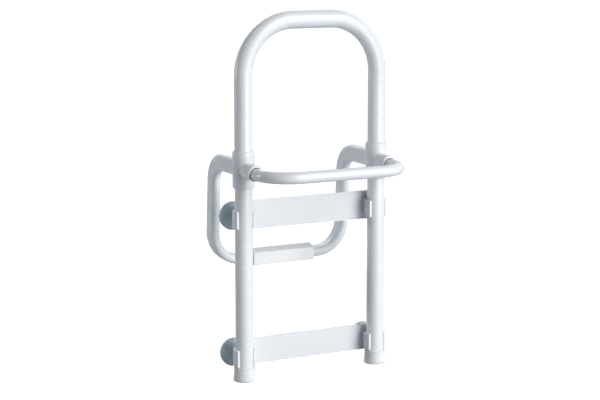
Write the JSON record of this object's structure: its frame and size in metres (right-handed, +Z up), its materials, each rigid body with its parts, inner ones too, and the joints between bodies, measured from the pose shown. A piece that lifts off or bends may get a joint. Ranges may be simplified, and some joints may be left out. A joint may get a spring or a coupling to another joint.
{
  "type": "over-rim bath grab rail",
  "caption": "Tall hooped bath grab rail with a lower front handle, a rear hoop that hooks over the bath rim, cross plates on snap clips and suction cups.",
  "frame": {"origin": "outer top edge of the bath rim where the rail grips it, midway between the legs: the suction cups end on y = 0 and the rear hoop's arms rest on z = 0", "axes": "+Z up along the legs, +Y from the outside of the bath into the bath, +X across the rail from the left leg to the right leg"},
  "size_m": [0.3234, 0.2817, 0.6604],
  "materials": {
    "tube_paint": "white powder coat, smooth, semi-gloss",
    "plate_paint": "white powder coat on flat strip, satin",
    "white_plastic": "white moulded plastic, semi-gloss",
    "liner_plastic": "natural white moulded plastic, matt",
    "block_plastic": "white moulded plastic, matt",
    "foot_rubber": "pale grey-white rubber, matt",
    "cup_rubber": "blue-grey rubber, satin",
    "brass": "machined brass",
    "zinc_steel": "zinc-plated steel"
  },
  "bodies": {
    "leg_frame": {"main_hoop": "tube_paint", "foot_left": "foot_rubber", "foot_right": "foot_rubber"},
    "rim_frame": {"collar_left": "white_plastic", "collar_right": "white_plastic", "collar_bush_left": "liner_plastic", "collar_bush_right": "liner_plastic", "collar_inserts": "brass", "collar_set_screws": "zinc_steel", "front_handle": "tube_paint", "handle_plugs": "liner_plastic", "handle_screws": "zinc_steel"},
    "rear_clamp": {"rear_hoop": "tube_paint", "wall_block": "block_plastic", "wall_block_screws": "zinc_steel", "arm_nuts": "zinc_steel", "arm_set_screws": "zinc_steel"},
    "upper_panel": {"upper_plate": "plate_paint", "clip_upper_left": "white_plastic", "clip_upper_right": "white_plastic", "cup_upper_left": "cup_rubber", "cup_upper_right": "cup_rubber", "cup_inserts_upper": "brass", "cup_screws_upper": "zinc_steel"},
    "lower_panel": {"lower_plate": "plate_paint", "clip_lower_left": "white_plastic", "clip_lower_right": "white_plastic", "cup_lower_left": "cup_rubber", "cup_lower_right": "cup_rubber", "cup_inserts_lower": "brass", "cup_screws_lower": "zinc_steel"}
  },
  "joints": [
    {"name": "rim_frame_height", "type": "slide", "parent": "leg_frame", "child": "rim_frame", "axis": [0, 0, 1], "range_m": [-0.01, 0.12]},
    {"name": "rear_hoop_reach", "type": "slide", "parent": "rim_frame", "child": "rear_clamp", "axis": [0, 1, 0], "range_m": [0, 0.035]},
    {"name": "upper_panel_height", "type": "slide", "parent": "leg_frame", "child": "upper_panel", "axis": [0, 0, 1], "range_m": [-0.08, 0.005]},
    {"name": "lower_panel_height", "type": "slide", "parent": "leg_frame", "child": "lower_panel", "axis": [0, 0, 1], "range_m": [0, 0.08]}
  ]
}
